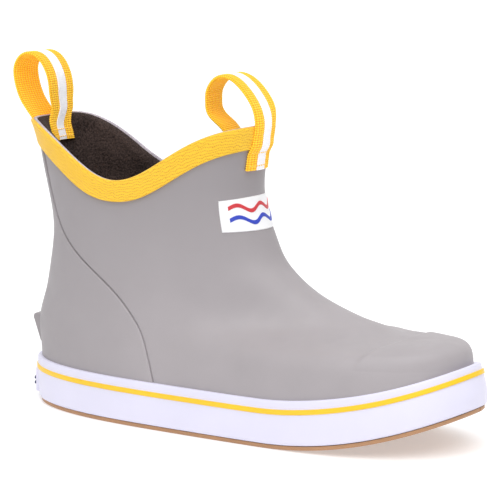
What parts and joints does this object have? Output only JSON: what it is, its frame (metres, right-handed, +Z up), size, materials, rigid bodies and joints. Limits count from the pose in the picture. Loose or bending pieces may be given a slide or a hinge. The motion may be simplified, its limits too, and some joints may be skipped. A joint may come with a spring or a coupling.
{
  "type": "ankle deck boot",
  "caption": "Slip-on ankle deck boot for a child, right foot: rubber upper, foxed cup sole with a contrast stripe, woven collar tape and two swinging webbing pull loops.",
  "frame": {"origin": "on the ground plane, half way along the sole, in the middle of the flat tread", "axes": "+X towards the toe, +Y towards the inner (big toe) side, +Z up"},
  "size_m": [0.2304, 0.0777, 0.1563],
  "materials": {
    "grey_rubber": "matte, faintly satin",
    "white_rubber": "satin",
    "yellow_rubber": "satin",
    "gum_rubber": "matte",
    "navy_rubber": "matte",
    "red_rubber": "satin",
    "blue_rubber": "satin",
    "yellow_webbing": "woven",
    "white_webbing": "woven",
    "yellow_thread": "twisted thread",
    "dark_mesh": "knitted mesh",
    "cotton_backing": "plain weave",
    "stiffener": "thermoplastic sheet",
    "fibre_board": "pressed fibre",
    "foam": "closed-cell foam"
  },
  "bodies": {
    "boot": {"rear_quarter": "grey_rubber", "vamp_upper": "grey_rubber", "collar_rim": "grey_rubber", "heel_kick_tab": "grey_rubber", "foxing": "white_rubber", "heel_badge": "white_rubber", "front_label": "white_rubber", "foxing_stripe": "yellow_rubber", "outsole": "gum_rubber", "badge_marks": "navy_rubber", "label_wave_upper": "red_rubber", "label_wave_lower": "blue_rubber", "collar_tape": "yellow_webbing", "front_strap_outer": "yellow_webbing", "rear_strap_outer": "yellow_webbing", "front_strap_inner": "yellow_webbing", "rear_strap_inner": "yellow_webbing", "front_strap_stitches": "yellow_thread", "rear_strap_stitches": "yellow_thread", "lining": "dark_mesh", "footbed_cover": "dark_mesh", "upper_backing": "cotton_backing", "toe_puff": "stiffener", "heel_counter": "stiffener", "insole_board": "fibre_board", "midsole_filler": "foam", "footbed": "foam"},
    "front_loop": {"front_loop": "yellow_webbing", "front_loop_stripe": "white_webbing"},
    "rear_loop": {"rear_loop": "yellow_webbing", "rear_loop_stripe": "white_webbing"}
  },
  "joints": [
    {"name": "front_loop_swing", "type": "hinge", "parent": "boot", "child": "front_loop", "pos_m": [0.0096, 0, 0.1322], "axis": [0, 1, 0], "range_deg": [-15, 30], "stiffness_Nm_per_rad": 0.02},
    {"name": "rear_loop_swing", "type": "hinge", "parent": "boot", "child": "rear_loop", "pos_m": [-0.1115, 0, 0.1293], "axis": [0, 1, 0], "range_deg": [-30, 10], "stiffness_Nm_per_rad": 0.02}
  ]
}
